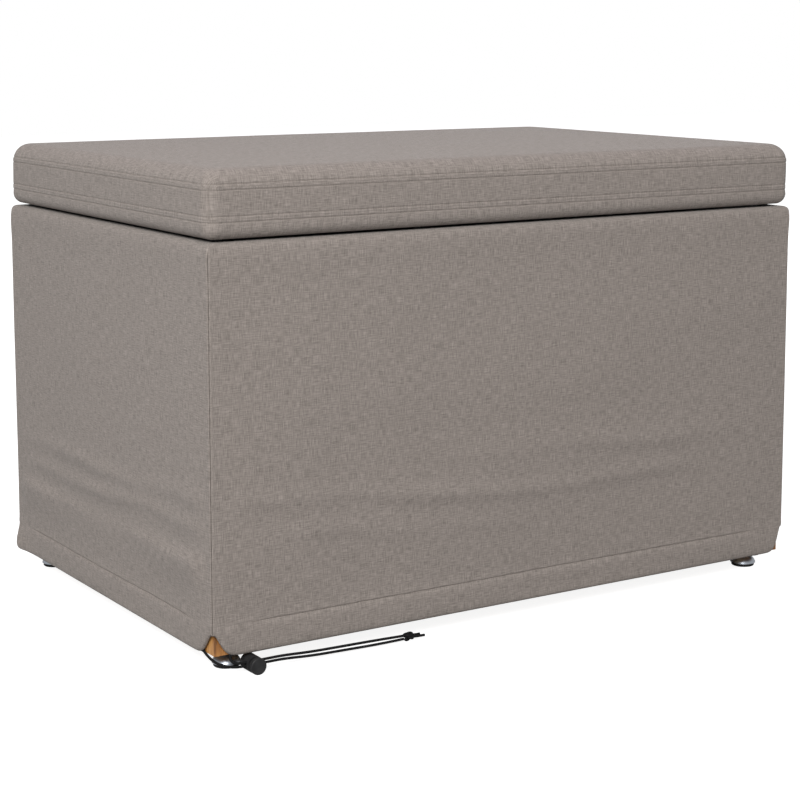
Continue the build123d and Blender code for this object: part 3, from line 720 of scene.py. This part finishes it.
band_heights = rows_between(LOW_SEAM, HIGH_SEAM)
first_band = len(lid_rows)
for height in band_heights:
    z = height * MM
    rise = np.clip((z - SHOULDER_Z) / SHOULDER, 0, 1)
    inset = SHOULDER_IN * (1 - math.sqrt(1 - rise**2))
    row = ring(lid_places, LID_X - inset, LID_Y - inset, corner_radius(inset), z)
    panel = flat_map(row, math.asin(rise))
    row += lid_out * lid_drift(row)[:, None]
    if z < HIGH_SEAM - 0.01 * MM:
        add_lid_row(row, round_map(z))
    elif z < HIGH_SEAM + 0.01 * MM:
        add_lid_row(row, round_map(z), panel)
    else:
        add_lid_row(row, panel)
start_angle = math.degrees(math.asin((band_heights[-1] * MM - SHOULDER_Z) / SHOULDER))
for angle in np.linspace(start_angle, 90, 14)[1:]:
    turn = math.radians(angle)
    inset, z = SHOULDER_IN * (1 - math.cos(turn)), SHOULDER_Z + SHOULDER * math.sin(turn)
    row = ring(lid_places, LID_X - inset, LID_Y - inset, corner_radius(inset), z)
    panel = flat_map(row, turn)
    row += lid_out * (lid_drift(row) * math.cos(turn))[:, None]
    row[:, 2] += lid_crown(row) * math.sin(turn) ** 3
    add_lid_row(row, panel)
flat_x, flat_y, flat_z = LID_X - SHOULDER_IN, LID_Y - SHOULDER_IN, SHOULDER_Z + SHOULDER
edge = ring(lid_places, flat_x, flat_y, corner_radius(SHOULDER_IN), flat_z)
to_middle = [0.985, 0.965, 0.94, 0.91, 0.875, 0.83, 0.78, 0.72, 0.65]
to_middle += [0.58, 0.5, 0.42, 0.34, 0.26, 0.18, 0.1, 0.03]
for share in to_middle:
    row = edge * (share, share, 1)
    row[:, 2] += lid_crown(row)
    pairs = np.vstack([edge[:, :2] * share, edge[:1, :2] * share])
    add_lid_row(row, pairs)

cushion = cloth_mesh("lid_cushion", lid_rows, lid_maps, cap=True)
cushion.data.materials.append(LINEN)
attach(cushion, "lid")
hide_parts("lid_cover", "lid_foam")

stitch_rows = []
for seam in (LOW_SEAM, HIGH_SEAM):
    for gap in (-STITCH_GAP, STITCH_GAP):
        height = round((seam + gap) / MM, 2)
        stitch_rows.append(lid_rows[first_band + band_heights.index(height)])
lid_thread = stitches("lid_stitching", stitch_rows, [lid_out] * 4, 3.3 * MM, 2.4 * MM, 0.26 * MM)
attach(lid_thread, "lid")


# ---------------------------------------------------------------- drawcord ends and knot

CORD_R = 1.4 * MM
left_end, front_end = -HALF_X, -HALF_Y


def cord(name, points):
    """Smooth round cord on a NURBS line with these control points, in millimetres from the corner."""
    data = bpy.data.curves.new(name, "CURVE")
    data.dimensions = "3D"
    data.bevel_depth, data.bevel_resolution, data.resolution_u = CORD_R, 5, 10
    data.use_fill_caps = True
    line = data.splines.new("NURBS")
    line.points.add(len(points) - 1)
    for point, (x, y, z) in zip(line.points, points):
        point.co = (left_end + x * MM, front_end + y * MM, z * MM, 1)
    line.order_u = 3
    line.use_endpoint_u = True
    data.materials.append(CORD)
    piece = bpy.data.objects.new(name, data)
    bpy.context.scene.collection.objects.link(piece)
    return piece


left_route = [
    (3.1, 25, 21.6),
    (3.6, 17.5, 18.0),
    (7.5, 9.5, 12.9),
    (15.0, 3.4, 9.2),
    (25.0, -1.0, 7.7),
    (36.0, -2.0, 7.5),
    (60.0, -1.99, 7.5),
    (80.0, -2.0, 7.5),
    (112.0, -2.2, 4.9),
    (150.0, -2.3, 4.1),
    (196.0, -2.2, 2.9),
    (223.5, -2.0, 3.3),
]
front_route = [
    (23.9, 3.1, 23.6),
    (20.8, 3.1, 19.6),
    (21.3, 1.6, 14.5),
    (25.1, -1.0, 11.1),
    (36.0, -2.0, 11.1),
    (60.0, -1.99, 11.1),
    (80.0, -2.0, 11.1),
    (112.0, -1.7, 8.9),
    (150.0, -1.5, 8.2),
    (196.0, -1.4, 7.3),
    (223.5, -1.6, 6.5),
]
left_strand = cord("strand_left", left_route)
front_strand = cord("strand_front", front_route)

# Both strands are tied in one overhand knot: each wrap is a trefoil seen along the cord, given
# by its share of the full size, its shift along the cord and its turn.
KNOT_MIDDLE, KNOT_SIZE, KNOT_WAVE, WRAP_POINTS = np.array([229.6, -1.8, 5.05]), 1.75, 2.6, 48
wraps = []
for wrap, (share, shift, spin) in enumerate(((1.0, -1.5, 0.0), (0.93, 1.5, 0.9))):
    size = share * KNOT_SIZE
    loop = []
    for step in range(WRAP_POINTS):
        t = 2 * math.pi * step / WRAP_POINTS
        across = math.sin(t) + 1.1 * math.sin(2 * t)
        up = math.cos(t) - 1.1 * math.cos(2 * t)
        x = shift - KNOT_WAVE * math.sin(3 * t)
        y = size * (across * math.cos(spin) - up * math.sin(spin))
        z = size * (across * math.sin(spin) + up * math.cos(spin))
        loop.append(tuple(KNOT_MIDDLE + (x, y, z)))
    wraps.append(cord(f"knot_wrap_{wrap}", loop))
long_tail = [(229, -2.6, 4.6), (236, -3.2, 4.2), (243, -2.6, 3.6), (249.4, -2.4, 3.4)]
short_tail = [(229, -0.8, 5.4), (235, 0.1, 5.3), (241, 0.4, 4.6), (245.4, 1.0, 4.4)]
knot_tails = [cord("knot_tail_long", long_tail), cord("knot_tail_short", short_tail)]
for piece in (left_strand, front_strand, *wraps, *knot_tails):
    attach(piece, "base")
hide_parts("cord_strand_left")
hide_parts("cord_strand_front")
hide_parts("cord_knot")


# ---------------------------------------------------------------- floor

FLOOR_REACH = 9.0
floor_corners = [(x * FLOOR_REACH, y * FLOOR_REACH, 0) for x, y in ((-1, -1), (1, -1), (1, 1), (-1, 1))]
floor_mesh = bpy.data.meshes.new("floor")
floor_mesh.from_pydata(floor_corners, [], [(0, 1, 2, 3)])
floor = bpy.data.objects.new("floor", floor_mesh)
bpy.context.scene.collection.objects.link(floor)
paper = Shader("pale_floor", Roughness=0.9, Specular_IOR_Level=0.1)
paper.surface.inputs["Emission Color"].default_value = (1, 1, 1, 1)
seen = paper.put("ShaderNodeLightPath").outputs["Is Camera Ray"]
glow = paper.math("MULTIPLY", seen, FLOOR_GLOW)
paper.tree.links.new(glow, paper.surface.inputs["Emission Strength"])
clouds = paper.noise(paper.place((0.7, 0.7, 0.7)))
paper.colour(paper.ramp(clouds, (0.3, (0.39, 0.39, 0.39)), (0.7, (0.41, 0.41, 0.41))))
floor_mesh.materials.append(paper.material)
floor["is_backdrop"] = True

low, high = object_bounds()
